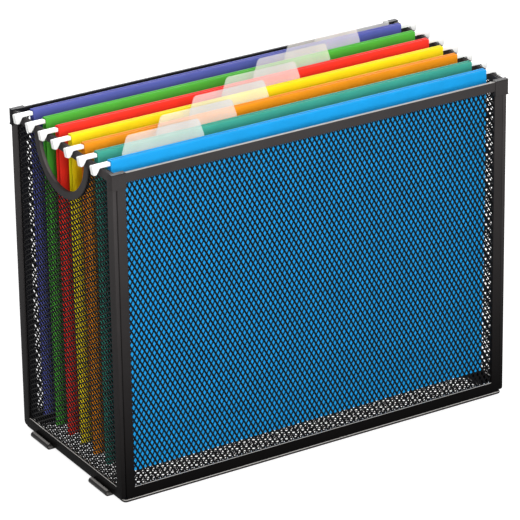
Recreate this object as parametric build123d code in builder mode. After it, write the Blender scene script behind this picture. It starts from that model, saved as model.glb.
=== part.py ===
from build123d import *
import math
import os

os.makedirs("parts", exist_ok=True)

# Millimetres. X runs along the box, Y from front to back and Z up.
# The origin is on the table, under the middle of the box.

# Outside of the box
box_length = 320.0       # over the outer faces of the two end panels
box_depth = 144.0        # over the outer faces of the front and back panels
panel_height = 244.0

# Folded steel strip round every panel
strip_thick = 3.0        # over both leaves of the fold
strip_fold = 0.7         # bevel that stands for the fold's outside rounding
panel_gap = 0.4          # between an end panel and the end of the front or back panel
end_inset = 0.3          # of the end panels' edges, from the front panel's outer face
foot_corner = 3.0        # rounding of a panel's two lower corners
front_post = 6.6
front_top_rail = 7.0
front_bottom_rail = 8.3
end_post = 8.0
end_top_rail = 6.0
end_bottom_rail = 7.3
groove_depth = 3.6       # how deep the fold takes the mesh

# Expanded mesh, with fewer and larger openings than the real sheet
mesh_thick = 0.8
mesh_play = 0.1          # beside the mesh inside the fold
mesh_tuck = 3.0          # how far the mesh reaches into the fold
mesh_short = 42.0        # one opening and one strand, across
mesh_long = 73.0         # the same, lengthwise
mesh_strand = 5.8

# Half-round hand hole under the rail of each end panel
handle_radius = 32.5
handle_band = 5.6        # hem round the hand hole
handle_sink = 2.5        # of the half round's middle, under the panel's top edge

# Folded clips on the four top corners
cap_length = 9.6         # along the front or back rail, inward from the end panel
cap_height = 11.0
cap_sheet = 0.6
cap_play = 0.1
cap_wrap = 4.0           # along the outer face of the end panel
cap_tongue = 9.0         # along the inner face of the end panel

# Tray under the panels and the four curls that the box stands on
tray_thick = 2.2
tray_fold = 0.5
tray_inset = 1.2         # from the end panel's outer face
tray_rim = 9.0
tray_corner = 3.0
curl_sheet = 0.9
curl_radius = 2.2
curl_length = 24.4
curl_place = 42.4        # from the middle of the end to the middle of a curl
curl_clear = 0.3         # between a curl and the end panel's outer face, less the radius
curl_mouth = 1.6         # gap that the rolled edge leaves open
curl_tongue = 9.0        # under the tray's rim

# Hanging folders
folder_colours = ["blue", "teal", "orange", "yellow", "red", "green", "violet"]
folder_pitch = 18.2
folder_inset = 7.5       # of the card's end from the end panel's outer face
folder_height = 238.0
folder_rise = 5.2        # of the folder's top edge over the rails
card_thick = 0.4
card_gap = 0.15          # from the middle of a folder to each of its halves
hem_depth = 14.0         # how far the card turns down round the hanger
hanger_thick = 1.3
hanger_height = 9.0
hanger_play = 0.1        # between the hanger and the card round it

# Coated hook at each end of a hanger
hook_reach = 7.2         # past the end panel's outer face
hook_clear = 0.8         # between the hook's leg and the end panel's outer face
hook_head = 1.9          # thickness over the coating
hook_arm = 2.7           # height of the arm that lies over the rail
hook_drop = 3.6          # how far the tip hangs below the arm
hook_tip = 3.4           # width of the tip
hook_taper = 1.9         # how far the leg's outer side slants in
hook_shoulder = 1.4      # rounding of the hook's outer corner
hook_bevel = 1.1         # cut corners of the hook's tip
rest_gap = 0.1           # between a resting hook and the rail
swing_gap = 0.55         # the same on the front half, which swings down a little

# Clear label tab behind each folder's top edge
tab_base = 64.0
tab_top = 56.0
tab_rise = 12.4
tab_foot = 8.0           # how far it reaches down behind the card
tab_leaf = 0.25
tab_slot = 0.3           # room for the label between the two leaves
tab_corner = 2.5
tab_play = 0.05
tab_step = 37.0          # from one folder's tab to the next along X
tab_shift = 2.2          # of the middle folder's tab along X

# Places that follow from the sizes above
tray_bottom = curl_sheet
panel_lift = tray_bottom + tray_thick
panel_top = panel_lift + panel_height
panel_middle = panel_lift + panel_height / 2
front_length = box_length - 2 * (strip_thick + panel_gap)
end_depth = box_depth - 2 * end_inset
front_place = box_depth / 2 - strip_thick / 2
end_place = box_length / 2 - strip_thick / 2
groove_half = mesh_thick / 2 + mesh_play
handle_outer = handle_radius + handle_band
handle_rise = panel_height / 2 - handle_sink
folder_width = box_length - 2 * folder_inset
hook_span = box_length + 2 * hook_reach
folder_top = panel_top + folder_rise
folder_bottom = folder_top - folder_height


def hand_in(piece, name):
    """Label a finished piece and write it to a file of its own."""
    piece.label = name
    export_step(piece, f"parts/{name}.step")


def front_plane(side):
    """Middle plane of the front (side -1) or back (side 1) panel."""
    return Plane(origin=(0, side * front_place, panel_middle), x_dir=(1, 0, 0), z_dir=(0, -1, 0))


def end_plane(side):
    """Middle plane of the left (side -1) or right (side 1) end panel."""
    return Plane(origin=(side * end_place, 0, panel_middle), x_dir=(0, 1, 0), z_dir=(1, 0, 0))


tray_plane = Plane.XY.offset(tray_bottom + tray_thick / 2)


def strip_frame(plane, width, height, sides, top, bottom, thick, fold, lower_corner, upper_corner):
    """Strip folded round the four edges of a mesh panel, with the groove that takes the mesh."""
    window_width = width - 2 * sides
    window_height = height - top - bottom
    window_rise = (bottom - top) / 2
    with BuildPart() as frame:
        with BuildSketch(plane) as outline:
            Rectangle(width, height)
            fillet(outline.vertices().group_by(Axis.Y)[0], lower_corner)
            if upper_corner:
                fillet(outline.vertices().group_by(Axis.Y)[-1], upper_corner)
        extrude(amount=thick / 2, both=True)
        leaves = frame.faces().sort_by(Axis(plane.origin, plane.z_dir))
        chamfer(leaves[0].edges() + leaves[-1].edges(), fold)
        with BuildSketch(plane):
            with Locations((0, window_rise)):
                Rectangle(window_width, window_height)
        extrude(amount=thick, both=True, mode=Mode.SUBTRACT)
        with BuildSketch(plane):
            with Locations((0, window_rise)):
                Rectangle(window_width + 2 * groove_depth, window_height + 2 * groove_depth)
        extrude(amount=groove_half, both=True, mode=Mode.SUBTRACT)
    return frame.part


def mesh_sheet(plane, width, height, rise, across, along, handle=None):
    """Flat sheet of staggered diamond openings. across and along are the size of one cell.

    handle is the height of the hand hole's middle over the middle of the panel.
    """
    scale = 1 - mesh_strand * math.hypot(across, along) / (across * along)
    columns = 2 * math.ceil(width / across / 2) + 1
    rows = 2 * math.ceil(height / along / 2) + 1
    sheet_size = (width + 2 * mesh_tuck, height + 2 * mesh_tuck)
    half_across, half_along = across * scale / 2, along * scale / 2
    diamond = [(-half_across, 0), (0, -half_along), (half_across, 0), (0, half_along)]
    with BuildPart() as sheet:
        with BuildSketch(plane):
            with Locations((0, rise)):
                Rectangle(*sheet_size)
            if handle is not None:
                with Locations((0, handle)):
                    Circle(handle_outer - mesh_tuck, mode=Mode.SUBTRACT)
        extrude(amount=mesh_thick / 2, both=True)
        with BuildSketch(plane):
            with Locations((0, rise)):
                for count in ((columns, rows), (columns - 1, rows - 1)):
                    with GridLocations(across, along, *count):
                        Polygon(*diamond, align=None)
            with Locations((0, rise)):
                Rectangle(width, height, mode=Mode.INTERSECT)
            if handle is not None:
                with Locations((0, handle)):
                    Circle(handle_outer, mode=Mode.SUBTRACT)
        extrude(amount=mesh_thick, both=True, mode=Mode.SUBTRACT)
    return sheet.part


def handle_band_piece(plane):
    """Hem of folded strip round the half-round hand hole, from rail to rail."""
    with BuildPart() as band:
        with BuildSketch(plane):
            with Locations((0, handle_rise)):
                Circle(handle_outer)
                Circle(handle_radius, mode=Mode.SUBTRACT)
            with Locations((0, -end_top_rail)):
                Rectangle(box_depth, panel_height, mode=Mode.INTERSECT)
        extrude(amount=strip_thick / 2, both=True)
        chamfer(band.edges().filter_by(GeomType.CIRCLE).group_by(SortBy.RADIUS)[0], strip_fold)
        with BuildSketch(plane):
            with Locations((0, handle_rise)):
                Circle(handle_outer + groove_depth)
                Circle(handle_outer - groove_depth, mode=Mode.SUBTRACT)
        extrude(amount=groove_half, both=True, mode=Mode.SUBTRACT)
    return band.part


def corner_cap(along_x, along_y):
    """Folded clip over a top corner: a sleeve on the rail's end that also grips the end panel."""
    outer_x = box_length / 2 + cap_play + cap_sheet
    outer_y = box_depth / 2 + cap_play + cap_sheet
    inner_x = front_length / 2 - cap_length
    wrap_y = outer_y - cap_wrap
    rail_back = box_depth / 2 - strip_thick - cap_play
    leg_back = rail_back - cap_sheet
    tongue_x = box_length / 2 - strip_thick - cap_play
    outline = [
        (inner_x, outer_y),
        (outer_x, outer_y),
        (outer_x, wrap_y),
        (outer_x - cap_sheet, wrap_y),
        (outer_x - cap_sheet, outer_y - cap_sheet),
        (inner_x, outer_y - cap_sheet),
    ]
    hook = [
        (inner_x, rail_back),
        (tongue_x, rail_back),
        (tongue_x, leg_back - cap_tongue),
        (tongue_x - cap_sheet, leg_back - cap_tongue),
        (tongue_x - cap_sheet, leg_back),
        (inner_x, leg_back),
    ]
    lid = [
        (inner_x, outer_y),
        (outer_x, outer_y),
        (outer_x, wrap_y),
        (tongue_x, wrap_y),
        (tongue_x, leg_back),
        (inner_x, leg_back),
    ]
    lid_height = panel_top + cap_play
    with BuildPart() as cap:
        for profile in (outline, hook):
            with BuildSketch(Plane.XY.offset(lid_height - cap_height)):
                with BuildLine():
                    Polyline(*[(along_x * x, along_y * y) for x, y in profile], close=True)
                make_face()
            extrude(amount=cap_height)
        with BuildSketch(Plane.XY.offset(lid_height)):
            with BuildLine():
                Polyline(*[(along_x * x, along_y * y) for x, y in lid], close=True)
            make_face()
        extrude(amount=cap_sheet)
    return cap.part


def foot_curls(side):
    """Two rolled edges at one end of the tray, each with its flat tongue under the tray's rim."""
    centre_x = box_length / 2 + curl_radius - curl_clear
    with BuildPart() as curls:
        for place in (-curl_place, curl_place):
            section = Plane(origin=(0, place, 0), x_dir=(side, 0, 0), z_dir=(0, -side, 0))
            with BuildSketch(section):
                with Locations((centre_x, curl_radius)):
                    Circle(curl_radius)
                    Circle(curl_radius - curl_sheet, mode=Mode.SUBTRACT)
                with Locations((centre_x, curl_sheet)):
                    Rectangle(
                        curl_radius, curl_mouth, align=(Align.MAX, Align.MIN), mode=Mode.SUBTRACT
                    )
                with Locations((centre_x, 0)):
                    Rectangle(
                        curl_tongue + curl_radius, curl_sheet, align=(Align.MAX, Align.MIN)
                    )
            extrude(amount=curl_length / 2, both=True)
    return curls.part


def hanger(middle, side, rest):
    """Flat steel strip of one folder half, and the coated hook on each of its ends."""
    inner = card_gap + card_thick + hanger_play
    strip_middle = middle + side * (inner + hanger_thick / 2)
    head_middle = middle + side * (card_gap + hook_head / 2)
    underside = panel_top + rest
    strip_top = folder_top - card_thick - hanger_play
    strip_end = folder_width / 2 - hook_shoulder
    head_start = folder_width / 2 + hanger_play
    leg_inner = box_length / 2 + hook_clear
    tip = underside - hook_drop
    tip_outer = hook_span / 2 - hook_taper
    with BuildPart() as strip:
        with BuildSketch(Plane(origin=(0, strip_middle, 0), x_dir=(1, 0, 0), z_dir=(0, -1, 0))):
            with Locations((0, strip_top)):
                Rectangle(2 * strip_end, hanger_height, align=(Align.CENTER, Align.MAX))
            with Locations((0, underside)):
                Rectangle(2 * head_start, hook_arm, align=(Align.CENTER, Align.MIN))
        extrude(amount=hanger_thick / 2, both=True)
    with BuildPart() as hooks:
        for end in (-1, 1):
            head = Plane(origin=(0, head_middle, 0), x_dir=(end, 0, 0), z_dir=(0, -end, 0))
            with BuildSketch(head) as hook:
                with BuildLine():
                    Polyline(
                        (head_start, underside),
                        (leg_inner, underside),
                        (tip_outer - hook_tip, tip),
                        (tip_outer, tip),
                        (hook_span / 2, underside + hook_arm),
                        (head_start, underside + hook_arm),
                        close=True,
                    )
                make_face()
                chamfer(hook.vertices().group_by(Axis.Y)[0], hook_bevel)
                fillet(hook.vertices().sort_by(Axis.X)[-1], hook_shoulder)
            extrude(amount=hook_head / 2, both=True)
    return Compound(strip.part.solids() + hooks.part.solids())


def folder_half(middle, side):
    """One card flap: it turns down round its hanger at the top and slants in to the crease."""
    near = card_gap
    pocket = near + card_thick
    far = pocket + hanger_thick + 2 * hanger_play
    outer = far + card_thick
    turn = folder_top - hem_depth
    profile = [
        (near, turn),
        (near, folder_top),
        (outer, folder_top),
        (outer, turn),
        (near + card_thick, folder_bottom),
        (near, folder_bottom),
        (far, turn),
        (far, folder_top - card_thick),
        (pocket, folder_top - card_thick),
        (pocket, turn),
    ]
    with BuildPart() as flap:
        with BuildSketch(Plane(origin=(0, middle, 0), x_dir=(0, side, 0), z_dir=(side, 0, 0))):
            with BuildLine():
                Polyline(*profile, close=True)
            make_face()
        extrude(amount=folder_width / 2, both=True)
    return flap.part


def label_tab(middle, place):
    """Clear tab folded over at its top edge, with a slot for the label."""
    depth = 2 * tab_leaf + tab_slot
    back = middle + card_gap + 2 * card_thick + hanger_thick + 2 * hanger_play + tab_play
    top = folder_top + tab_rise
    with BuildPart() as tab:
        with BuildSketch(Plane(origin=(place, back, 0), x_dir=(1, 0, 0), z_dir=(0, 1, 0))) as face:
            with BuildLine():
                Polyline(
                    (-tab_base / 2, -(folder_top - tab_foot)),
                    (-tab_base / 2, -folder_top),
                    (-tab_top / 2, -top),
                    (tab_top / 2, -top),
                    (tab_base / 2, -folder_top),
                    (tab_base / 2, -(folder_top - tab_foot)),
                    close=True,
                )
            make_face()
            fillet(face.vertices().group_by(Axis.Y)[0], tab_corner)
        extrude(amount=depth)
        slot = Plane(origin=(place, back + tab_leaf, 0), x_dir=(1, 0, 0), z_dir=(0, 1, 0))
        with BuildSketch(slot):
            with Locations((0, -(top - tab_leaf))):
                Rectangle(2 * tab_base, tab_rise + 2 * tab_foot, align=(Align.CENTER, Align.MIN))
        extrude(amount=tab_slot, mode=Mode.SUBTRACT)
    return tab.part


# Front and back panels
front_window = (front_length - 2 * front_post, panel_height - front_top_rail - front_bottom_rail)
for side, name in ((-1, "front"), (1, "back")):
    plane = front_plane(side)
    frame = strip_frame(
        plane, front_length, panel_height, front_post, front_top_rail, front_bottom_rail,
        strip_thick, strip_fold, foot_corner, 0,
    )
    hand_in(frame, f"{name}_frame")
    mesh = mesh_sheet(
        plane, *front_window, (front_bottom_rail - front_top_rail) / 2, mesh_short, mesh_long
    )
    hand_in(mesh, f"{name}_mesh")

# End panels, whose mesh is turned a quarter
end_window = (end_depth - 2 * end_post, panel_height - end_top_rail - end_bottom_rail)
for side, name in ((-1, "left"), (1, "right")):
    plane = end_plane(side)
    frame = strip_frame(
        plane, end_depth, panel_height, end_post, end_top_rail, end_bottom_rail,
        strip_thick, strip_fold, foot_corner, 0,
    )
    hand_in(frame, f"{name}_frame")
    hand_in(handle_band_piece(plane), f"{name}_handle_band")
    mesh = mesh_sheet(
        plane, *end_window, (end_bottom_rail - end_top_rail) / 2, mesh_long, mesh_short,
        handle=handle_rise,
    )
    hand_in(mesh, f"{name}_mesh")

# Tray under the panels
tray_length = box_length - 2 * tray_inset
tray_window = (tray_length - 2 * tray_rim, box_depth - 2 * tray_rim)
tray_frame = strip_frame(
    tray_plane, tray_length, box_depth, tray_rim, tray_rim, tray_rim,
    tray_thick, tray_fold, tray_corner, tray_corner,
)
hand_in(tray_frame, "tray_frame")
hand_in(mesh_sheet(tray_plane, *tray_window, 0, mesh_long, mesh_short), "tray_mesh")

# Caps and curls
for along_x, along_y, name in ((-1, -1, "front_left"), (1, -1, "front_right"),
                               (-1, 1, "back_left"), (1, 1, "back_right")):
    hand_in(corner_cap(along_x, along_y), f"{name}_cap")
for side, name in ((-1, "left"), (1, "right")):
    hand_in(foot_curls(side), f"{name}_foot_curls")

# Hanging folders, from front to back
for index, colour in enumerate(folder_colours):
    count = index - (len(folder_colours) - 1) / 2
    middle = count * folder_pitch
    for side, half, rest in ((-1, "front", swing_gap), (1, "back", rest_gap)):
        hand_in(folder_half(middle, side), f"{colour}_folder_{half}_flap")
        hand_in(hanger(middle, side, rest), f"{colour}_folder_{half}_hanger")
    hand_in(label_tab(middle, tab_shift + count * tab_step), f"{colour}_folder_label_tab")
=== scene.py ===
"""Mesh hanging file box with seven hanging folders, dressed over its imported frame."""

from __future__ import annotations

import logging
import math
from dataclasses import dataclass, field
from enum import Enum
from typing import Any, Callable, Iterable, Sequence

import bmesh
import bpy
import numpy as np
from mathutils import Matrix, Vector

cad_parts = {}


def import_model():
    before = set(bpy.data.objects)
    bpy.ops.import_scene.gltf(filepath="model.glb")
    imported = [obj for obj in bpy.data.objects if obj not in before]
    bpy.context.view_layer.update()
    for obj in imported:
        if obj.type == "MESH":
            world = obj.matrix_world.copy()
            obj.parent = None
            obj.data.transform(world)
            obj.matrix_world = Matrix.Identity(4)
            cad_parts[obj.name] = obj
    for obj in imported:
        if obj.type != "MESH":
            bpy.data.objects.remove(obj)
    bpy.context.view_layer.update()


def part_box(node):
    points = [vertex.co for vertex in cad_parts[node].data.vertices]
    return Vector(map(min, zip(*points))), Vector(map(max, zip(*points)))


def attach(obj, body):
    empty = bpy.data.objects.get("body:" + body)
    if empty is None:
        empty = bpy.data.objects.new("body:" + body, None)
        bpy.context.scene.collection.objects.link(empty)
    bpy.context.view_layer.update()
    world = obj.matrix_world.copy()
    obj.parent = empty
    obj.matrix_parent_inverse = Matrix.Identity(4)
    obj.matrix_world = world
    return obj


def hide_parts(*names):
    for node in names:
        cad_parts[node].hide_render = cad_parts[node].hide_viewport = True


LOG = logging.getLogger("file_box")
MM = 0.001
BOX_BODY = "box"
CORNERS = ((-1, -1), (1, -1), (1, 1), (-1, 1))
CELL = (3.9, 6.77)
WELD = 0.002
Flat = tuple[float, float]
Line = list[Flat]
Triple = tuple[float, float, float]


# Plain geometry


@dataclass(frozen=True)
class Wall:
    """Middle plane of a flat piece, with its own directions across and up."""

    origin: Vector
    across: Vector
    up: Vector

    @property
    def out(self) -> Vector:
        """Direction that the wall's outer side faces."""
        return self.across.cross(self.up)

    def at(self, u: float, v: float, w: float = 0.0) -> Vector:
        """Point at u across, v up and w out, all in millimetres."""
        return self.origin + (self.across * u + self.up * v + self.out * w) * MM


class Named(Enum):
    """Options whose names stand in the names of the frame's nodes."""

    @property
    def label(self) -> str:
        """This option's name there."""
        return self.name.lower()


class Side(Named):
    """The walls of the box, by the direction across each as seen from outside."""

    FRONT = Vector((1, 0, 0))
    BACK = Vector((-1, 0, 0))
    LEFT = Vector((0, -1, 0))
    RIGHT = Vector((0, 1, 0))

    @property
    def lengthwise(self) -> bool:
        """Whether this is one of the two long walls."""
        return self in (Side.FRONT, Side.BACK)

    def wall(self) -> Wall:
        """Middle plane of this side's frame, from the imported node."""
        low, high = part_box(f"{self.label}_frame")
        return Wall((low + high) / 2, self.value, Vector((0, 0, 1)))


class FolderColour(Named):
    """Card colours from front to back, as 8-bit values."""

    BLUE = (4, 164, 240)
    TEAL = (58, 166, 142)
    ORANGE = (255, 152, 0)
    YELLOW = (255, 236, 0)
    RED = (255, 44, 28)
    GREEN = (76, 188, 52)
    VIOLET = (88, 94, 184)


def linear(colour: Sequence[float]) -> tuple[float, ...]:
    """8-bit display colour as linear light with full alpha, by the sRGB curve."""
    parts = [part / 255 for part in colour]
    return *(p / 12.92 if p <= 0.04045 else ((p + 0.055) / 1.055) ** 2.4 for p in parts), 1.0


def toward(azimuth: float, elevation: float) -> Vector:
    """Direction at two angles in degrees, with 0, 0 straight out of the front wall.

    Args:
        azimuth: Angle round the box, towards its right end.
        elevation: Angle above the floor.

    Returns:
        The direction, one long.
    """
    turn, rise = math.radians(azimuth), math.radians(elevation)
    return Vector((math.sin(turn) * math.cos(rise), -math.cos(turn) * math.cos(rise),
                   math.sin(rise)))


def arc(centre: Flat, radius: float, start: float, stop: float, steps: int) -> Line:
    """Points along an arc.

    Args:
        centre: Middle of the arc.
        radius: Radius of the arc.
        start: First angle in degrees.
        stop: Last angle in degrees.
        steps: Number of chords.

    Returns:
        The steps + 1 points from start to stop.
    """
    angles = [math.radians(start + (stop - start) * i / steps) for i in range(steps + 1)]
    return [(centre[0] + radius * math.cos(a), centre[1] + radius * math.sin(a)) for a in angles]


def rounded(corners: Sequence[Triple], steps: int = 6) -> Line:
    """Outline of a polygon with rounded corners.

    Args:
        corners: Each corner's two coordinates and its radius, 0 for a sharp one.
        steps: Number of chords in a rounded corner.

    Returns:
        The outline's points.
    """
    outline: Line = []
    for index, (x, y, radius) in enumerate(corners):
        here = Vector((x, y))
        before = (Vector(corners[index - 1][:2]) - here).normalized()
        after = (Vector(corners[(index + 1) % len(corners)][:2]) - here).normalized()
        half = before.angle(after) / 2
        if not radius:
            outline.append((x, y))
            continue
        reach = radius / math.tan(half)
        middle = here + (before + after).normalized() * radius / math.sin(half)
        first, last = here + before * reach - middle, here + after * reach - middle
        turn = first.angle_signed(last)
        for step in range(steps + 1):
            spoke = first.copy()
            spoke.rotate(Matrix.Rotation(-turn * step / steps, 2))
            outline.append(tuple(middle + spoke))
    return outline


class Shell:
    """Points and faces of one piece while it is built, in metres in the row frame."""

    def __init__(self) -> None:
        """Start with nothing."""
        self.points: list[Vector] = []
        self.faces: list[tuple[int, ...]] = []

    def ring(self, points: Iterable[Vector]) -> list[int]:
        """Add points.

        Args:
            points: The new points.

        Returns:
            Their numbers.
        """
        start = len(self.points)
        self.points.extend(points)
        return list(range(start, len(self.points)))

    def sweep(self, rings: list[list[int]], closed_ring: bool = True, loop: bool = False) -> None:
        """Span a row of rings of equal length with four-sided faces.

        Args:
            rings: Point numbers of the rings in order.
            closed_ring: Whether each ring meets its own start.
            loop: Whether the last ring is joined to the first.
        """
        for first, second in zip(rings, rings[1:] + (rings[:1] if loop else [])):
            for i in range(len(first) if closed_ring else len(first) - 1):
                j = (i + 1) % len(first)
                self.faces.append((first[i], first[j], second[j], second[i]))

    def plate(self, wall: Wall, outline: Line, low: float, high: float) -> None:
        """Add a flat plate.

        Args:
            wall: Plane that the outline is drawn on.
            outline: The plate's outline in millimetres.
            low: Where its inner face lies along the wall's outward direction.
            high: Where its outer face lies.
        """
        inner = self.ring(wall.at(u, v, low) for u, v in outline)
        outer = self.ring(wall.at(u, v, high) for u, v in outline)
        self.sweep([inner, outer])
        self.faces.append(tuple(reversed(inner)))
        self.faces.append(tuple(outer))

    def bent(self, wall: Wall, line: Line, thick: float, spans: list[float]) -> None:
        """Add a sheet of even thickness, bent along a line.

        Args:
            wall: Plane that the line is drawn on.
            line: The middle of the sheet's thickness, in millimetres.
            thick: The sheet's thickness.
            spans: Half the sheet's width at each point of the line.
        """
        rings = []
        for index, (u, v) in enumerate(line):
            before = Vector(line[max(index - 1, 0)])
            after = Vector(line[min(index + 1, len(line) - 1)])
            along = (after - before).normalized()
            side = Vector((-along.y, along.x)) * thick / 2
            half = spans[index]
            rings.append(self.ring([
                wall.at(u + side.x, v + side.y, -half),
                wall.at(u + side.x, v + side.y, half),
                wall.at(u - side.x, v - side.y, half),
                wall.at(u - side.x, v - side.y, -half),
            ]))
        self.sweep(rings)
        self.faces.append(tuple(rings[0]))
        self.faces.append(tuple(reversed(rings[-1])))


@dataclass(frozen=True)
class Placing:
    """What a finished piece is called, stands for and rides on, and the name of its material slot.
    """

    name: str
    nodes: tuple[str, ...]
    slot: str = "black_steel"
    body: str = BOX_BODY


def hand_over(shell: Shell, placing: Placing, finish: Finish, edge: float = 0.0,
              crease: float = 35.0) -> bpy.types.Object:
    """Turn a shell into a piece of the model.

    Args:
        shell: The piece's points and faces.
        placing: Its name, CAD nodes, material slot and body.
        finish: What it is painted with.
        edge: Width in millimetres to which its sharp edges are rounded.
        crease: Angle in degrees above which an edge stays sharp to the light.

    Returns:
        The new object.
    """
    mesh = bpy.data.meshes.new(placing.name)
    mesh.from_pydata([tuple(p) for p in shell.points], [], shell.faces)
    work = bmesh.new()
    work.from_mesh(mesh)
    bmesh.ops.remove_doubles(work, verts=work.verts, dist=WELD * MM)
    bmesh.ops.recalc_face_normals(work, faces=work.faces)
    work.to_mesh(mesh)
    work.free()
    piece = bpy.data.objects.new(placing.name, mesh)
    bpy.context.scene.collection.objects.link(piece)
    if edge:
        bevel = piece.modifiers.new("rounded edges", "BEVEL")
        bevel.width = edge * MM
        bevel.segments = 2
        bevel.limit_method = "ANGLE"
        bevel.angle_limit = math.radians(crease)
        bevel.harden_normals = True
    mesh.shade_smooth()
    mesh.set_sharp_from_angle(angle=math.radians(crease))
    mesh.materials.append(finish.material())
    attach(piece, placing.body)
    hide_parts(*placing.nodes)
    LOG.info("%s: %d faces", placing.name, len(mesh.polygons))
    return piece


# Finishes


class Signal:
    """Output of a shader node, so that shader maths reads as plain expressions."""

    def __init__(self, graph: Graph, socket: bpy.types.NodeSocket) -> None:
        """Keep the socket and the graph it belongs to."""
        self.graph = graph
        self.socket = socket

    def _math(self, operation: str, left: Any, right: Any) -> Signal:
        """Add one Math node."""
        return self.graph.node("Math", {"operation": operation}, {0: left, 1: right})

    def __add__(self, other: Any) -> Signal:
        """Sum."""
        return self._math("ADD", self, other)

    def __radd__(self, other: Any) -> Signal:
        """Sum with a number in front."""
        return self._math("ADD", other, self)

    def __sub__(self, other: Any) -> Signal:
        """Difference."""
        return self._math("SUBTRACT", self, other)

    def __rsub__(self, other: Any) -> Signal:
        """Difference with a number in front."""
        return self._math("SUBTRACT", other, self)

    def __mul__(self, other: Any) -> Signal:
        """Product."""
        return self._math("MULTIPLY", self, other)

    def __rmul__(self, other: Any) -> Signal:
        """Product with a number in front."""
        return self._math("MULTIPLY", other, self)

    def __pow__(self, other: Any) -> Signal:
        """Power."""
        return self._math("POWER", self, other)


class Graph:
    """Node tree of one material or world."""

    def __init__(self, owner: bpy.types.Material | bpy.types.World) -> None:
        """Start with an empty tree.

        Args:
            owner: What the tree belongs to.
        """
        owner.use_nodes = True
        self.tree = owner.node_tree
        self.tree.nodes.clear()

    def node(self, kind: str, settings: dict[str, Any] | None = None,
             values: dict[Any, Any] | None = None, output: Any = 0) -> Signal:
        """Add a node.

        Args:
            kind: The node's type, less ShaderNode.
            settings: Its own settings.
            values: Numbers, colours or signals for its sockets, by name or number.
            output: Name or number of the output that is wanted.

        Returns:
            That output.
        """
        made = self.tree.nodes.new(f"ShaderNode{kind}")
        for key, value in (settings or {}).items():
            setattr(made, key, value)
        for key, value in (values or {}).items():
            if isinstance(value, Signal):
                self.tree.links.new(value.socket, made.inputs[key])
            else:
                made.inputs[key].default_value = value
        return Signal(self, made.outputs[output]) if len(made.outputs) else None

    def place(self, stretch: Sequence[float] = (1, 1, 1)) -> Signal:
        """Position on the piece in metres, stretched along each axis."""
        return self.node("VectorMath", {"operation": "MULTIPLY"},
                         {0: self.node("TexCoord", output="Object"), 1: tuple(stretch)})

    def noise(self, size: float, detail: float = 3.0, stretch: Sequence[float] = (1, 1, 1),
              rough: float = 0.5) -> Signal:
        """Soft noise from 0 to 1.

        Args:
            size: Width of its grains in millimetres.
            detail: Number of finer layers.
            stretch: How much finer it is along each axis.
            rough: Share of the finer layers.

        Returns:
            The noise.
        """
        return self.node("TexNoise", None, {
            "Vector": self.place(stretch), "Scale": 1 / (size * MM), "Detail": detail,
            "Roughness": rough,
        })

    def blend(self, factor: Any, first: Any, second: Any, how: str = "MIX") -> Signal:
        """Blend two colours.

        Args:
            factor: Share of the second colour.
            first: Colour or signal.
            second: Colour or signal.
            how: The Mix node's way of blending.

        Returns:
            The blended colour.
        """
        settings = {"data_type": "RGBA", "blend_type": how, "clamp_factor": True}
        return self.node("Mix", settings, {0: factor, 6: first, 7: second}, 2)

    def rise(self, value: Signal, start: float, stop: float) -> Signal:
        """0 at start and 1 at stop, even between them and clamped beyond."""
        return self.node("MapRange", {"clamp": True},
                         {"Value": value, "From Min": start, "From Max": stop})

    def bump(self, height: Signal, depth: float, strength: float = 1.0) -> Signal:
        """Relief of the given depth in millimetres."""
        return self.node("Bump", None,
                         {"Height": height, "Distance": depth * MM, "Strength": strength})


@dataclass(frozen=True)
class Finish:
    """A painted, coated, printed or moulded surface."""

    name: str
    colour: Triple
    roughness: float = 0.5
    sheen_level: float = 0.5
    smoother: float = 0.0
    rougher: float = 0.1

    def tone(self, share: float) -> tuple[float, ...]:
        """The finish's colour at this share of its brightness, as linear light."""
        return linear([part * share for part in self.colour])

    def rough(self, grains: Signal) -> Signal:
        """Roughness that rises with the grains."""
        return self.roughness - self.smoother + grains * self.rougher

    def material(self) -> bpy.types.Material:
        """Make the finish's material, once.

        Returns:
            The material.
        """
        found = bpy.data.materials.get(self.name)
        if found:
            return found
        made = bpy.data.materials.new(self.name)
        graph = Graph(made)
        sockets = {"Roughness": self.roughness, "Specular IOR Level": self.sheen_level}
        sockets.update(self.surface(graph))
        shader = graph.node("BsdfPrincipled", None, sockets)
        graph.node("OutputMaterial", None, {"Surface": shader})
        return made

    def surface(self, graph: Graph) -> dict[str, Any]:
        """Values and signals for the shader's sockets, by their names."""
        raise NotImplementedError


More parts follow.
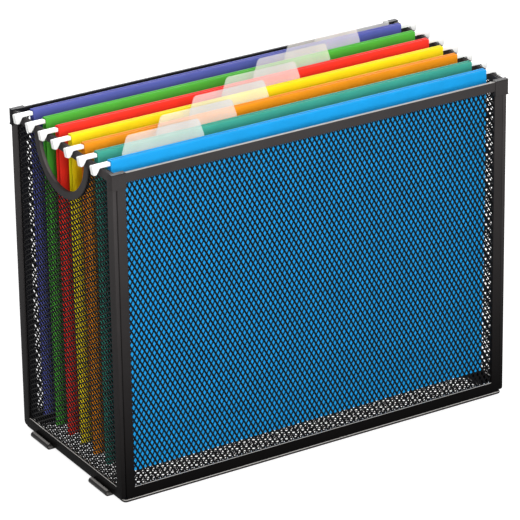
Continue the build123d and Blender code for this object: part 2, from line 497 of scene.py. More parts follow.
@dataclass(frozen=True)
class PowderCoat(Finish):
    """Baked black powder coat: fine orange peel, cloudy sheen, dust in its pits; painted shade and
    highlights.
    """

    roughness: float = 0.3
    sheen_level: float = 0.02
    smoother: float = 0.08
    cloudier: float = 0.08
    grain: float = 0.55
    cloud: float = 26.0
    peel: float = 0.035
    dust: float = 1.5
    speck: float = 0.35
    speck_dust: float = 2.0
    # Share of the colour left at the floor by the painted shade, which fades out at full_height.
    foot_shade: float = 0.12
    full_height: float = 240.0
    # Painted highlight: its shares at the top, at the foot and on folds, its colour, the way lit
    # faces turn and the ranges of turn that take it.
    top_gleam: float = 0.0
    foot_gleam: float = 0.0
    fold_gleam: float = 0.0
    gleam: Triple = (216, 212, 208)
    gleam_way: Triple = (0.0, 0.0, 1.0)
    gleam_range: Flat = (0.8, 0.98)
    fold_start: Flat = (0.3, 0.5)
    fold_end: Flat = (0.95, 0.8)

    def surface(self, graph: Graph) -> dict[str, Any]:
        """Speckled near-black with a dimpled sheen, painted shade towards the foot and painted
        highlights.

        Args:
            graph: Node tree of the material.

        Returns:
            Values and signals for the shader's sockets, by their names.
        """
        grains = graph.noise(self.grain, detail=4, rough=0.6)
        clouds = graph.noise(self.cloud, detail=3)
        speck = graph.noise(self.grain * self.speck, detail=2)
        tint = graph.blend(grains * 0.5 + clouds * 0.5, self.tone(1), self.tone(self.dust))
        tint = graph.blend(speck ** 4, tint, self.tone(self.speck_dust))
        # Painted shade: the colour darkens from full at full height down to the foot share at the
        # floor.
        place = graph.node("SeparateXYZ", None, {0: graph.place()}, "Z")
        height = graph.rise(place, 0.0, self.full_height * MM)
        tint = graph.blend(1.0, tint, 1 - (1 - height) * (1 - self.foot_shade), "MULTIPLY")
        # Painted highlight: faces turned the highlight's way are lightened toward a pale colour, by
        # a share that runs from the foot's to the top's with height.
        facing = graph.node("NewGeometry", output="Normal")
        facing = graph.node("VectorMath", {"operation": "DOT_PRODUCT"},
                            {0: facing, 1: self.gleam_way}, "Value")
        level = height * (self.top_gleam - self.foot_gleam) + self.foot_gleam
        painted_highlight_share = level * graph.rise(facing, *self.gleam_range)
        # Painted highlight on folds: half-turned faces are lightened too.
        if self.fold_gleam:
            slope = graph.node("Math", {"operation": "ABSOLUTE"}, {0: facing})
            band = graph.rise(slope, *self.fold_start) * graph.rise(slope, *self.fold_end)
            painted_highlight_share = painted_highlight_share + band * self.fold_gleam
        tint = graph.blend(painted_highlight_share, tint, linear(self.gleam))
        return {
            "Base Color": tint,
            "Roughness": self.rough(grains) + clouds * self.cloudier,
            "Normal": graph.bump(grains + speck * 0.4, self.peel, strength=0.6),
        }


@dataclass(frozen=True)
class DipCoat(Finish):
    """Thick white vinyl over a steel hook, with shallow runs where it drained."""

    rougher: float = 0.12
    run: float = 3.0
    pit: float = 0.3
    shade: float = 0.97
    depth: float = 0.05

    def surface(self, graph: Graph) -> dict[str, Any]:
        """Nearly even white with soft runs.

        Args:
            graph: Node tree of the material.

        Returns:
            Values and signals for the shader's sockets, by their names.
        """
        runs = graph.noise(self.run, detail=2, stretch=(1, 1, 0.4))
        pits = graph.noise(self.pit)
        return {
            "Base Color": graph.blend(runs, self.tone(1), self.tone(self.shade)),
            "Roughness": self.rough(pits),
            "Normal": graph.bump(runs + pits * 0.25, self.depth, strength=0.5),
        }


@dataclass(frozen=True)
class Card(Finish):
    """Dyed folder card: fibres along the sheet, mottled dye and a faint calendered sheen."""

    smoother: float = 0.05
    rougher: float = 0.14
    fibre: float = 0.5
    mottle: float = 9.0
    deep: float = 0.86
    pale: float = 0.1
    depth: float = 0.012

    def surface(self, graph: Graph) -> dict[str, Any]:
        """Fibres and mottling in one dye.

        Args:
            graph: Node tree of the material.

        Returns:
            Values and signals for the shader's sockets, by their names.
        """
        fibres = graph.noise(self.fibre, detail=5, stretch=(0.22, 1, 1), rough=0.65)
        mottle = graph.noise(self.mottle, detail=4, stretch=(0.5, 1, 1))
        fleck = graph.noise(self.fibre * 0.6, detail=2, stretch=(1, 1, 0.3))
        pale = linear([part + (255 - part) * self.pale for part in self.colour])
        tint = graph.blend(mottle, self.tone(1), self.tone(self.deep))
        tint = graph.blend(fibres * fibres * 0.5, tint, pale)
        return {
            "Base Color": tint,
            "Roughness": self.rough(fibres),
            "Normal": graph.bump(fibres * 0.7 + fleck * 0.3, self.depth, strength=0.5),
        }


@dataclass(frozen=True)
class FrostedFilm(Finish):
    """Clear tab film with a matt grain, so that it veils what is behind it, lightened by a painted
    glow.
    """

    rougher: float = 0.15
    depth: float = 0.01
    veil: float = 0.1
    uneven: float = 0.04
    glow: float = 0.45
    grain: float = 0.25
    cloud: float = 10.0
    cool: float = 0.95

    def surface(self, graph: Graph) -> dict[str, Any]:
        """Pale film whose veil is a little uneven, lightened by a painted glow.

        Args:
            graph: Node tree of the material.

        Returns:
            Values and signals for the shader's sockets, by their names.
        """
        grains = graph.noise(self.grain)
        clouds = graph.noise(self.cloud, detail=2)
        return {
            "Base Color": graph.blend(clouds, self.tone(1), self.tone(self.cool)),
            "Roughness": self.rough(grains),
            "Alpha": self.veil + (clouds - 0.5) * self.uneven,
            # Painted glow: the film gives off its own pale colour, though it is no lamp.
            "Emission Color": self.tone(1),
            "Emission Strength": self.glow,
            "Normal": graph.bump(grains, self.depth, strength=0.4),
        }


# Copies of one black coat. All but the mesh's darken towards the foot as painted shade, and the
# highlight settings add painted highlights. The back strip's copy is darker as painted shade, the
# end strip's a little lighter as painted light.
FRAME_COAT = PowderCoat("powder_coated_strip", (44, 42, 42))
LIGHTENED_END_COAT = PowderCoat("powder_coated_end_strip", (48, 46, 46), foot_shade=0.08, foot_gleam=0.7)
SHADED_BACK_COAT = PowderCoat("powder_coated_back_strip", (24, 24, 26), foot_shade=0.2, foot_gleam=0.6)
LONG_COAT = PowderCoat("powder_coated_long_strip", (44, 42, 42), foot_shade=0.06, top_gleam=0.7,
                       foot_gleam=1.0)
HEM_COAT = PowderCoat("powder_coated_hem", (44, 42, 42), sheen_level=0.04, top_gleam=0.12,
                      gleam_way=(0.0, -0.77, 0.64))
CURL_COAT = PowderCoat("powder_coated_curl", (38, 36, 36), roughness=0.2, sheen_level=0.3,
                       foot_shade=0.3, foot_gleam=0.35)
TRAY_COAT = PowderCoat("powder_coated_tray_strip", (40, 37, 36), sheen_level=0.05, foot_shade=0.2,
                       fold_gleam=0.6)
MESH_COAT = PowderCoat("powder_coated_mesh", (9, 9, 10), roughness=0.34, sheen_level=0.06,
                       foot_shade=1.0, grain=0.35)
HOOK_COAT = DipCoat("dip_coated_hook", (252, 252, 250), roughness=0.34)
TAB_FILM = FrostedFilm("frosted_tab_film", (250, 248, 244), roughness=0.22)
CARDS = {colour: Card(f"{colour.label}_dyed_card", colour.value, roughness=0.62, sheen_level=0.35)
         for colour in FolderColour}


# Panels


@dataclass(frozen=True)
class StripSize:
    """Folded strip round one panel, in millimetres."""

    posts: float
    top: float
    bottom: float
    thick: float = 3.0
    fold: float = 0.6
    lower_corner: float = 3.0
    upper_corner: float = 1.2
    leaf: float = 1.0
    lip: float = 0.22
    groove: float = 3.6
    fold_steps: int = 8

    def section(self, edge: Callable[[float], Line],
                fold: Callable[[float], Line]) -> list[tuple[Line, float]]:
        """Section through the strip, from inside one leaf round the fold to the other.

        Args:
            edge: Gives the line that lies so far inside from the leaves' edge.
            fold: Gives the line that lies so far inside from the fold.

        Returns:
            Lines along the strip, each with its place through the thickness.
        """
        half, pinch = self.thick / 2, self.thick / 2 - self.leaf
        leaf = [(edge(self.groove), pinch), (edge(0), pinch), (edge(0), half - self.lip),
                (edge(self.lip), half)]
        section = [(line, -depth) for line, depth in leaf]
        for step in range(self.fold_steps + 1):
            angle = math.pi * (step / self.fold_steps - 0.5)
            level = math.copysign(half - self.fold, angle) if step * 2 != self.fold_steps else 0
            section.append((fold(self.fold * (1 - math.cos(angle))),
                            level + self.fold * math.sin(angle)))
        return section + leaf[::-1]


@dataclass
class FoldedStrip:
    """Strip folded round a panel's four edges, its two leaves pinching the mesh."""

    wall: Wall
    width: float
    height: float
    size: StripSize
    finish: Finish = FRAME_COAT
    corner_steps: int = 5

    @property
    def window(self) -> Triple:
        """Width, height and rise of the window over the panel's middle."""
        top, bottom = self.size.top, self.size.bottom
        return self.width - 2 * self.size.posts, self.height - top - bottom, (bottom - top) / 2

    def outline(self, inset: float) -> Line:
        """Outer outline, moved inwards.

        Args:
            inset: How far it moves, in millimetres.

        Returns:
            Its points, starting in the lower left corner.
        """
        half_width, half_height = self.width / 2 - inset, self.height / 2 - inset
        points: Line = []
        for corner, (right, upper) in enumerate(CORNERS):
            full = self.size.upper_corner if upper > 0 else self.size.lower_corner
            radius = max(full - inset, 0.0)
            centre = (right * (half_width - radius), upper * (half_height - radius))
            start = 180 + 90 * corner
            points += arc(centre, radius, start, start + 90, self.corner_steps)
        return points

    def opening(self, outset: float) -> Line:
        """Window's outline, moved outwards.

        Args:
            outset: How far it moves, in millimetres.

        Returns:
            Its points, as many as the outer outline has.
        """
        width, height, rise = self.window
        points: Line = []
        for right, upper in CORNERS:
            corner = (right * (width / 2 + outset), rise + upper * (height / 2 + outset))
            points += [corner] * (self.corner_steps + 1)
        return points

    def build(self) -> Shell:
        """Model the strip.

        Returns:
            One closed shell.
        """
        shell = Shell()
        rings = [shell.ring(self.wall.at(u, v, w) for u, v in line)
                 for line, w in self.size.section(self.opening, self.outline)]
        shell.sweep(rings, loop=True)
        return shell

    def dress(self, placing: Placing) -> None:
        """Build the strip and paint it."""
        hand_over(self.build(), placing, self.finish)


@dataclass
class ExpandedMesh:
    """Sheet of slit and stretched steel: staggered diamonds with ridged strands."""

    wall: Wall
    width: float
    height: float
    rise: float
    across: float
    along: float
    hole_rise: float | None = None
    hole_radius: float = 35.1
    heavy_strand: float = 1.34
    light_strand: float = 0.92
    ridge: float = 0.4
    rim: float = 0.2
    tuck: float = 3.0

    def _centres(self) -> np.ndarray:
        """Middles of the diamonds that show or reach into the strip.

        Returns:
            One row of two coordinates for each.
        """
        half_u, half_v = self.width / 2 + self.tuck, self.height / 2 + self.tuck
        columns = math.ceil(half_u / self.across) + 1
        rows = math.ceil(half_v / self.along) + 1
        grid = np.array([(i, j) for i in range(-columns, columns + 1)
                         for j in range(-rows, rows + 1)], float)
        pitch = np.array((self.across, self.along))
        centres = np.concatenate([grid * pitch, (grid + 0.5) * pitch])
        reach = pitch / 2 + np.array((half_u, half_v))
        centres = centres[(np.abs(centres) < reach).all(axis=1)]
        if self.hole_rise is not None:
            offset = centres - np.array((0, self.hole_rise - self.rise))
            centres = centres[np.hypot(*offset.T) > self.hole_radius - self.along / 4]
        return centres

    def _opening(self) -> Line:
        """Corners of one opening.

        Returns:
            Right, top, left and bottom, from its middle.
        """
        a, b = self.across / 2, self.along / 2
        edge = math.hypot(a, b)
        heavy = a * b / edge - self.heavy_strand / 2
        light = a * b / edge - self.light_strand / 2
        return [
            (edge * (first * heavy - second * light) / (2 * b),
             edge * (first * heavy + second * light) / (2 * a))
            for first, second in ((1, -1), (1, 1), (-1, 1), (-1, -1))
        ]

    def _clear_of_hole(self, flat: np.ndarray) -> np.ndarray:
        """Move points out of the hand hole, to where the hem takes the mesh.

        Args:
            flat: Points of the sheet.

        Returns:
            The same points, those in the hole moved.
        """
        if self.hole_rise is None:
            return flat
        centre = np.array((0, self.hole_rise - self.rise))
        spoke = flat - centre
        length = np.maximum(np.hypot(*spoke.T), 1e-6)[:, None]
        return np.where(length < self.hole_radius, centre + spoke / length * self.hole_radius, flat)

    def build(self) -> Shell:
        """Model every diamond as a ridged ring with its own walls.

        Returns:
            The rings, side by side.
        """
        a, b = self.across / 2, self.along / 2
        middle = [(a, 0), (0, b), (-a, 0), (0, -b)]
        inner = self._opening()
        layers = [(middle, self.ridge), (inner, self.rim), (inner, -self.rim),
                  (middle, -self.ridge)]
        centres = self._centres()
        shell = Shell()
        tiles = len(centres)
        points = []
        for corners, depth in layers:
            flat = (centres[:, None, :] + np.array(corners)[None, :, :]).reshape(-1, 2)
            flat = self._clear_of_hole(flat)
            points.append(np.column_stack([flat, np.full(len(flat), depth)]))
        placed = np.concatenate(points)
        axes = np.array([self.wall.across, self.wall.up, self.wall.out])
        base = np.array(self.wall.at(0, self.rise))
        shell.points = [tuple(p) for p in base + placed @ axes * MM]
        corner = np.arange(4)
        following = (corner + 1) % 4
        for layer in range(len(layers) - 1):
            near = layer * tiles * 4 + np.arange(tiles)[:, None] * 4
            far = near + tiles * 4
            quads = np.stack([near + corner, near + following, far + following, far + corner], -1)
            shell.faces += [tuple(q) for q in quads.reshape(-1, 4).tolist()]
        return shell

    def trim(self, piece: bpy.types.Object) -> None:
        """Cut the sheet to size where it ends inside the strip.

        Args:
            piece: The sheet.
        """
        work = bmesh.new()
        work.from_mesh(piece.data)
        for direction, half, rise in ((self.wall.across, self.width / 2, 0.0),
                                      (self.wall.up, self.height / 2, self.rise)):
            for sign in (-1, 1):
                place = self.wall.origin + direction * (rise + sign * (half + self.tuck)) * MM
                everything = work.verts[:] + work.edges[:] + work.faces[:]
                bmesh.ops.bisect_plane(work, geom=everything, plane_co=place,
                                       plane_no=direction * sign, clear_outer=True)
        work.to_mesh(piece.data)
        work.free()

    def dress(self, placing: Placing) -> None:
        """Build the sheet, paint it and cut it to size.

        Args:
            placing: What the piece is called and stands for.
        """
        piece = hand_over(self.build(), placing, MESH_COAT, crease=20.0)
        self.trim(piece)
        piece.visible_shadow = False


@dataclass
class HandHoleHem:
    """Folded strip round the half-round hand hole of an end panel."""

    wall: Wall
    rise: float
    size: StripSize
    radius: float = 32.5
    width: float = 5.6
    sink: float = 2.5
    arc_steps: int = 64

    def _arc(self, radius: float) -> Line:
        """Half round of that radius, from the underside of the rail to the rail again."""
        cut = math.degrees(math.asin((self.size.top - self.sink) / radius))
        return arc((0, self.rise), radius, 180 + cut, 360 - cut, self.arc_steps)

    def build(self) -> Shell:
        """Model the hem.

        Returns:
            One closed sweep.
        """
        outer = self.radius + self.width
        section = self.size.section(lambda inset: self._arc(outer - inset),
                                    lambda inset: self._arc(self.radius + inset))
        shell = Shell()
        rings = [shell.ring(self.wall.at(u, v, w) for u, v in line) for line, w in section]
        shell.sweep(rings, closed_ring=False, loop=True)
        for end in (0, -1):
            shell.faces.append(tuple(ring[end] for ring in rings))
        return shell

    def dress(self, placing: Placing) -> None:
        """Build the hem and paint it."""
        hand_over(self.build(), placing, HEM_COAT)


@dataclass
class Panels:
    """The four walls: strip, mesh and, on the ends, the hand hole's hem."""

    long_strip: StripSize = StripSize(posts=6.6, top=7.0, bottom=8.3)
    end_strip: StripSize = StripSize(posts=8.0, top=6.0, bottom=7.3)
    hole_sink: float = 2.5

    def build(self) -> None:
        """Make every wall's pieces."""
        for side in Side:
            self._wall(side)

    def _wall(self, side: Side) -> None:
        """Make one wall's pieces.

        Args:
            side: Which wall.
        """
        label = side.label
        low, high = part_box(f"{label}_frame")
        width = (high.x - low.x if side.lengthwise else high.y - low.y) / MM
        height = (high.z - low.z) / MM
        wall = side.wall()
        # The back strip takes the darker copy of the coat as painted shade, the ends the lighter
        # copy as painted light.
        strip = FoldedStrip(wall, width, height,
                            self.long_strip if side.lengthwise else self.end_strip,
                            {Side.FRONT: LONG_COAT, Side.BACK: SHADED_BACK_COAT}.get(side, LIGHTENED_END_COAT))
        hole_rise = height / 2 - self.hole_sink
        sheet = ExpandedMesh(wall, *strip.window, *(CELL if side.lengthwise else CELL[::-1]),
                             hole_rise=None if side.lengthwise else hole_rise)
        strip.dress(Placing(f"{label}_folded_strip", (f"{label}_frame",)))
        sheet.dress(Placing(f"{label}_expanded_mesh", (f"{label}_mesh",), "black_mesh"))
        if not side.lengthwise:
            hem = HandHoleHem(wall, hole_rise, self.end_strip, sink=self.hole_sink)
            hem.dress(Placing(f"{label}_hand_hole_hem", (f"{label}_handle_band",)))


# Tray, caps and curls


@dataclass
class Tray:
    """Mesh tray under the walls, edged by the same strip."""

    rim: float = 9.0
    thick: float = 2.2
    fold: float = 0.9
    leaf: float = 0.6
    corner: float = 3.0
    strand: float = 0.8

    def build(self) -> None:
        """Make the tray's rim and mesh."""
        low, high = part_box("tray_frame")
        wall = Wall((low + high) / 2, Vector((1, 0, 0)), Vector((0, 1, 0)))
        size = StripSize(self.rim, self.rim, self.rim, thick=self.thick, fold=self.fold,
                         lower_corner=self.corner, upper_corner=self.corner, leaf=self.leaf)
        strip = FoldedStrip(wall, (high.x - low.x) / MM, (high.y - low.y) / MM, size, TRAY_COAT)
        sheet = ExpandedMesh(wall, *strip.window, *CELL[::-1],
                             heavy_strand=self.strand, light_strand=self.strand)
        strip.dress(Placing("tray_folded_strip", ("tray_frame",)))
        sheet.dress(Placing("tray_expanded_mesh", ("tray_mesh",), "black_mesh"))


@dataclass
class CornerCap:
    """Folded clip over a top corner, with a lip rolled along its lower edge."""

    along_x: int
    along_y: int
    label: str
    sheet: float = 0.6
    rail_depth: float = 3.2
    short: float = 2.8
    wrap: float = 4.0
    grip: float = 3.8
    tongue: float = 9.0
    ease: float = 0.1
    bend: float = 0.5
    sliver: float = 0.01
    lip: float = 0.16
    lip_height: float = 0.8

    def build(self) -> Shell:
        """Model the clip.

        Returns:
            Its outer sleeve, inner leg, lid and rolled lip.
        """
        low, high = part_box(f"{self.label}_cap")
        middle = (low + high) / 2
        height = (high.z - low.z) / MM
        wall = Wall(Vector((middle.x, middle.y, low.z)), Vector((self.along_x, 0, 0)),
                    Vector((0, self.along_y, 0)))
        side, face = (high.x - low.x) / 2 / MM, (high.y - low.y) / 2 / MM
        sheet, lip = self.sheet, self.lip
        flip = self.along_x * self.along_y
        level = sorted((0.0, flip * height))
        lid = sorted((flip * (height - sheet), flip * (height - self.sliver)))
        foot = sorted((0.0, flip * self.lip_height))
        under_hooks = sorted((0.0, flip * (height - sheet - self.ease)))
        wrap = face - self.wrap
        end = self.short - side
        outer = rounded([(end, face, 0), (side, face, self.bend), (side, wrap, 0),
                         (side - sheet, wrap, 0), (side - sheet, face - sheet, 0),
                         (end, face - sheet, 0)], steps=4)
        bead = [(end - lip, face + lip), (side + lip, face + lip), (side + lip, wrap),
                (side - sheet, wrap), (side - sheet, face - sheet), (end - lip, face - sheet)]
        back = face - sheet - self.rail_depth
        grip = side - self.grip
        inner = [(end, back), (grip, back), (grip, back - sheet - self.tongue),
                 (grip - sheet, back - sheet - self.tongue), (grip - sheet, back - sheet),
                 (end, back - sheet)]
        top = [(end, face), (side, face), (side, wrap), (grip, wrap), (grip, back - sheet),
               (end, back - sheet)]
        shell = Shell()
        for outline, (bottom, upper) in ((outer, level), (inner, under_hooks), (top, lid),
                                         (bead, foot)):
            shell.plate(wall, outline, bottom, upper)
        return shell

    def dress(self) -> None:
        """Build the clip and paint it."""
        placing = Placing(f"{self.label}_corner_clip", (f"{self.label}_cap",))
        # Back clips take the darker back coat, painted shade.
        coat = SHADED_BACK_COAT if self.along_y > 0 else FRAME_COAT
        hand_over(self.build(), placing, coat, edge=0.14)


@dataclass
class FootCurls:
    """Two rolled edges that the box stands on at one end, with their flat tongues."""

    label: str
    direction: int
    sheet: float = 0.85
    radius: float = 2.2
    length: float = 24.4
    place: float = 42.4
    tongue: float = 9.0
    tongue_steps: int = 8
    roll: float = 262.0
    roll_steps: int = 20

    def build(self) -> Shell:
        """Roll both sheets.

        Returns:
            The two curls.
        """
        low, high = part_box(f"{self.label}_foot_curls")
        tip = (high.x if self.direction > 0 else low.x) / MM
        centre = abs(tip) - self.radius
        middle = self.radius - self.sheet / 2
        line = [(centre - self.tongue + step, self.sheet / 2)
                for step in range(self.tongue_steps)]
        line += arc((centre, self.radius), middle, -90, self.roll - 90, self.roll_steps)
        shell = Shell()
        for sign in (-1, 1):
            wall = Wall(Vector((0, sign * self.place, 0)) * MM, Vector((self.direction, 0, 0)),
                        Vector((0, 0, 1)))
            shell.bent(wall, line, self.sheet, [self.length / 2] * len(line))
        return shell

    def dress(self) -> None:
        """Build the curls and paint them."""
        placing = Placing(f"{self.label}_rolled_feet", (f"{self.label}_foot_curls",))
        hand_over(self.build(), placing, CURL_COAT, edge=0.12)


# Hanging folders


class Half(Named):
    """The two halves of a folder, by the way each faces."""

    FRONT = -1
    BACK = 1


@dataclass
class Folder:
    """One hanging folder: two card flaps, two hangers with coated hooks and a label tab."""

    colour: FolderColour
    width: float = 305.0
    card: float = 0.4
    card_steps: int = 14
    hem: float = 14.0
    strip: float = 1.3
    low_crest: float = 1.0
    hem_round: float = 0.85
    hem_steps: int = 5
    belly: float = 0.35
    hook_arm: float = 2.7
    hook_drop: float = 4.4
    hook_tip: float = 2.2
    tip_round: float = 0.42
    hook_taper: float = 1.1
    hook_shoulder: float = 0.8
    strip_inset: float = 1.5
    strip_corner: float = 1.0
    hook_throat: float = 0.9
    hook_leg: float = 160.8
    head: float = 1.9
    coat_start: float = 152.6
    coat_round: Flat = (0.3, 0.5)
    hanger_height: float = 9.0
    tab_base: float = 64.0
    tab_top: float = 56.0
    tab_rise: float = 12.4
    tab_leaf: float = 0.25
    tab_corner: float = 2.5
    tab_steps: int = 6
    crown_steps: int = 8
    score_heights: Triple = (7.0, 13.0, 19.0)
    score_half: float = 0.5
    score_depth: float = 0.12
    rest_clear: float = 0.1
    swing_clear: float = 0.55

    def build(self) -> None:
        """Make the folder's five pieces."""
        for half in Half:
            self._flap(half)
            self._hanger(half)
        self._tab()

    def _body(self, half: Half) -> str:
        """Body that this half rides on."""
        return f"{self.colour.label}_folder" + ("_front" if half is Half.FRONT else "")

    def _node(self, half: Half, what: str) -> str:
        """Name of a CAD node of this half."""
        return f"{self.colour.label}_folder_{half.label}_{what}"

    def _flap(self, half: Half) -> None:
        """Make a card flap, turned down round its hanger and scored near the crease.

        Args:
            half: Which of the folder's halves.
        """
        low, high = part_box(self._node(half, "flap"))
        top, bottom = high.z / MM - self.low_crest, low.z / MM
        inside = (high.y if half is Half.FRONT else low.y) / MM
        depth = (high.y - low.y) / MM
        near, far = self.card / 2, depth - self.card / 2
        turn = top - self.hem
        crown = top - self.card / 2 - self.hem_round
        line = [(near, turn), (near, (turn + crown) / 2)]
        line += arc((near + self.hem_round, crown), self.hem_round, 180, 90, self.hem_steps)
        line += arc((far - self.hem_round, crown), self.hem_round, 90, 0, self.hem_steps)
        line += [(far, (turn + crown) / 2), (far, turn)]
        line += self._slope(far, near, turn, bottom)
        wall = Wall(Vector((0, inside, 0)) * MM, Vector((0, half.value, 0)), Vector((0, 0, 1)))
        shell = Shell()
        shell.bent(wall, line, self.card, [self.width / 2] * len(line))
        label = self.colour.label
        placing = Placing(f"{label}_{half.label}_card", (self._node(half, "flap"),),
                          f"{label}_card", self._body(half))
        hand_over(shell, placing, CARDS[self.colour], crease=40.0)

    def _slope(self, far: float, near: float, turn: float, bottom: float) -> Line:
        """Middle line of the card below its hem, with its scored folds.

        Args:
            far: Where the line starts, across.
            near: Where it ends, across.
            turn: Height of the hem's end.
            bottom: Height of the crease.

        Returns:
            The line's points, downwards.
        """
        heights = {turn - (turn - bottom) * (i + 1) / self.card_steps: 0.0
                   for i in range(self.card_steps)}
        for score in [bottom + height for height in self.score_heights]:
            heights.update({score + self.score_half: 0.0, score: self.score_depth,
                            score - self.score_half: 0.0})
        line = []
        for height in sorted(heights, reverse=True):
            share = (turn - height) / (turn - bottom)
            bulge = self.belly * math.sin(math.pi * share)
            line.append((far + (near - far) * share + bulge - heights[height], height))
        return line

    def _hanger(self, half: Half) -> None:
        """Make a flat steel strip with a coated hook on each end.

        Args:
            half: Which of the folder's halves.
        """
        low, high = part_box(self._node(half, "hanger"))
        middle = (low.y + high.y) / 2
        span = (high.x - low.x) / 2 / MM
        clear = self.swing_clear if half is Half.FRONT else self.rest_clear
        arm_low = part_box("left_frame")[1].z / MM + clear
        wall = Wall(Vector((0, middle, 0)), Vector((1, 0, 0)), Vector((0, 0, 1)))
        shell = Shell()
        strip_top = high.z / MM - self.low_crest
        strip_end = self.width / 2 - self.strip_inset
        band = self.strip / 2
        bar = [(right * strip_end, strip_top if upper > 0 else strip_top - self.hanger_height,
                self.strip_corner) for right, upper in CORNERS]
        shell.plate(wall, rounded(bar, steps=3), -band, band)
        for sign in (-1, 1):
            mirrored = Wall(wall.origin, wall.across * sign, wall.up)
            shell.plate(mirrored, self._hook(arm_low, span), -self.head / 2, self.head / 2)
        placing = Placing(f"{self.colour.label}_{half.label}_hooks",
                          (self._node(half, "hanger"),), "white_coating", self._body(half))
        hand_over(shell, placing, HOOK_COAT, edge=0.25, crease=50.0)

    def _hook(self, under: float, span: float) -> Line:
        """Outline of one coated hook, from the card's edge to its tip.

        Args:
            under: Height of the arm's underside.
            span: How far the hook reaches from the folder's middle.

        Returns:
            The outline's points.
        """
        tip = under - self.hook_drop
        outer_tip = span - self.hook_taper
        tip_round = self.hook_tip * self.tip_round
        return rounded([
            (self.coat_start, under, self.coat_round[0]),
            (self.hook_leg, under, self.hook_throat),
            (outer_tip - self.hook_tip, tip, tip_round),
            (outer_tip, tip, tip_round),
            (span, under + self.hook_arm, self.hook_shoulder),
            (self.coat_start, under + self.hook_arm, self.coat_round[1]),
        ])

    def _tab(self) -> None:
        """Make the clear tab, folded over along its top edge."""
        node = f"{self.colour.label}_folder_label_tab"
        low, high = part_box(node)
        place, depth = (low.x + high.x) / 2, (high.y - low.y) / MM
        top, foot = high.z / MM, low.z / MM
        base = top - self.tab_rise
        radius = (depth - self.tab_leaf) / 2
        near, far = self.tab_leaf / 2, depth - self.tab_leaf / 2
        crown = top - self.tab_leaf / 2 - radius
        rise = [foot, base, (base + crown) / 2, crown - self.tab_corner]
        curve = [crown - self.tab_corner
                 + self.tab_corner * math.sin(math.radians(90 * step / self.tab_steps))
                 for step in range(1, self.tab_steps)]
        line = [(near, height) for height in rise + curve]
        line += arc((near + radius, crown), radius, 180, 0, self.crown_steps)
        line += [(far, height) for height in reversed(rise + curve)]
        wall = Wall(Vector((place, low.y, 0)), Vector((0, 1, 0)), Vector((0, 0, 1)))
        shell = Shell()
        shell.bent(wall, line, self.tab_leaf, [self._tab_half(height, base, top)
                                               for _, height in line])
        placing = Placing(f"{self.colour.label}_clear_tab", (node,), "clear_plastic",
                          self._body(Half.BACK))
        hand_over(shell, placing, TAB_FILM, crease=50.0)

    def _tab_half(self, height: float, base: float, top: float) -> float:
        """Half the tab's width at a height, with its rounded upper corners.

        Args:
            height: The height.
            base: Height of the card's edge.
            top: Height of the tab's upper edge.

        Returns:
            Half the width.
        """
        share = max(height - base, 0) / (top - base)
        half = (self.tab_base + (self.tab_top - self.tab_base) * share) / 2
        over = max(height - (top - self.tab_corner), 0)
        over = min(over, self.tab_corner)
        return half - self.tab_corner + math.sqrt(self.tab_corner ** 2 - over ** 2)


# Studio


@dataclass(frozen=True)
class PhotoCamera:
    """Camera at the photograph's viewing angle. Angles in degrees, lengths in millimetres."""

    azimuth: float = -31.160
    elevation: float = 24.161
    roll: float = -0.859
    distance: float = 2692.6
    sideways: float = -2.16
    upward: float = -4.78
    aim_height: float = 125.1
    focal_pixels: float = 3771.8
    frame_pixels: float = 520.0
    sensor: float = 36.0

    def build(self) -> None:
        """Place the camera and make it the scene's."""
        azimuth, roll = math.radians(self.azimuth), math.radians(self.roll)
        back = toward(self.azimuth, self.elevation)
        level = Vector((math.cos(azimuth), math.sin(azimuth), 0))
        upright = back.cross(level)
        place = (back * self.distance + level * self.sideways + upright * self.upward
                 + Vector((0, 0, self.aim_height))) * MM
        right = level * math.cos(roll) + upright * math.sin(roll)
        up = upright * math.cos(roll) - level * math.sin(roll)
        turn = Matrix((right, up, back)).transposed().to_4x4()
        data = bpy.data.cameras.new("photo_camera")
        data.sensor_width = self.sensor
        data.lens = self.focal_pixels / self.frame_pixels * self.sensor
        camera = bpy.data.objects.new("photo_camera", data)
        bpy.context.scene.collection.objects.link(camera)
        camera.matrix_world = Matrix.Translation(place) @ turn
        bpy.context.scene.camera = camera


@dataclass(frozen=True)
class SoftBox:
    """One square studio lamp that faces the box."""

    name: str
    azimuth: float
    elevation: float
    distance: float
    side: float
    strength: float
    aim: Triple = (0.0, 0.0, 0.12)

    def build(self) -> None:
        """Hang the lamp."""
        back = toward(self.azimuth, self.elevation)
        data = bpy.data.lights.new(self.name, "AREA")
        data.size = self.side
        data.energy = self.strength
        lamp = bpy.data.objects.new(self.name, data)
        bpy.context.scene.collection.objects.link(lamp)
        lamp.location = Vector(self.aim) + back * self.distance
        lamp.rotation_mode = "QUATERNION"
        lamp.rotation_quaternion = back.to_track_quat("Z", "Y")
        lamp.visible_camera = False


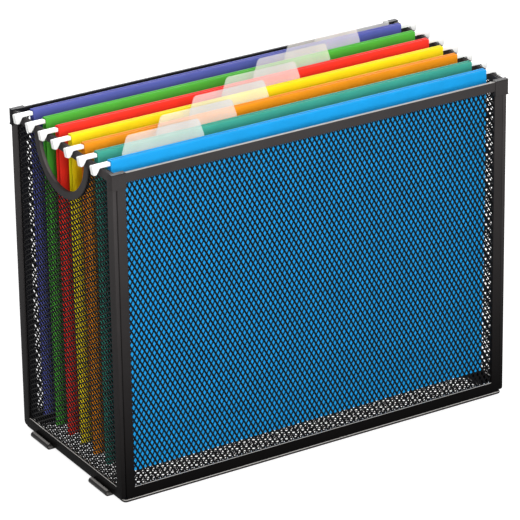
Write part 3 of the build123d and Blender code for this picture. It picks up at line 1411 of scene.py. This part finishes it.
@dataclass
class Studio:
    """White floor, even surroundings and soft lamps."""

    floor_side: float = 14.0
    surround: float = 0.35
    floor_drop: float = 0.4
    floor_grey: float = 0.4
    floor_lift: float = 0.8
    mirrored: float = 0.35
    lamps: list[SoftBox] = field(default_factory=lambda: [
        SoftBox("key_lamp", azimuth=-16.0, elevation=24.0, distance=1.8, side=0.9, strength=32.0),
        SoftBox("back_lamp", azimuth=149.0, elevation=24.0, distance=1.7, side=0.8, strength=20.0),
        SoftBox("left_lamp", azimuth=-95.0, elevation=28.0, distance=2.0, side=1.0, strength=9.0),
    ])

    def build(self) -> None:
        """Set up the floor, the surroundings, the lamps and the view transform."""
        bpy.context.scene.view_settings.view_transform = "Standard"
        self._floor()
        self._surroundings()
        for lamp in self.lamps:
            lamp.build()

    def _shown(self, graph: Graph) -> Signal:
        """Whether the background is shown.

        Args:
            graph: Node tree that asks.

        Returns:
            1 to the camera and through a clear film, less in a reflection, else 0.
        """
        def path(name: str) -> Signal:
            """One of the light path's outputs."""
            return graph.node("LightPath", output=name)

        seen = (path("Is Camera Ray") + path("Is Transmission Ray")
                + path("Is Glossy Ray") * self.mirrored)
        return graph.node("Math", {"operation": "MINIMUM"}, {0: seen, 1: 1.0})

    def _floor(self) -> None:
        """Lay the floor, lifted to white for what is shown and still taking the shadow."""
        mesh = bpy.data.meshes.new("studio_floor")
        half = self.floor_side / 2
        corners = [(right * half, upper * half, 0) for right, upper in CORNERS]
        mesh.from_pydata(corners, [], [(0, 1, 2, 3)])
        floor = bpy.data.objects.new("studio_floor", mesh)
        bpy.context.scene.collection.objects.link(floor)
        floor.location.z = -self.floor_drop * MM
        material = bpy.data.materials.new("floor_paper")
        graph = Graph(material)
        matte = graph.node("BsdfDiffuse", None, {"Color": (self.floor_grey,) * 3 + (1,)})
        lift = graph.node("Emission", None,
                          {"Color": (1, 1, 1, 1), "Strength": self._shown(graph) * self.floor_lift})
        both = graph.node("AddShader", None, {0: matte, 1: lift})
        graph.node("OutputMaterial", None, {"Surface": both})
        mesh.materials.append(material)

    def _surroundings(self) -> None:
        """Even pale surroundings, white where they are seen."""
        world = bpy.data.worlds.new("studio_surroundings")
        bpy.context.scene.world = world
        graph = Graph(world)
        level = self._shown(graph) * (1 - self.surround) + self.surround
        sky = graph.node("Background", None, {"Color": (1, 1, 1, 1), "Strength": level})
        graph.node("OutputWorld", None, {"Surface": sky})


def main() -> None:
    """Dress the box, its folders and the studio."""
    logging.basicConfig(level=logging.INFO, format="%(message)s")
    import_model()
    PhotoCamera().build()
    Studio().build()
    Panels().build()
    Tray().build()
    for along_y, row in ((-1, "front"), (1, "back")):
        for along_x, end in ((-1, "left"), (1, "right")):
            CornerCap(along_x, along_y, f"{row}_{end}").dress()
    for label, direction in (("left", -1), ("right", 1)):
        FootCurls(label, direction).dress()
    for colour in FolderColour:
        Folder(colour).build()


if __name__ == "__main__":
    main()
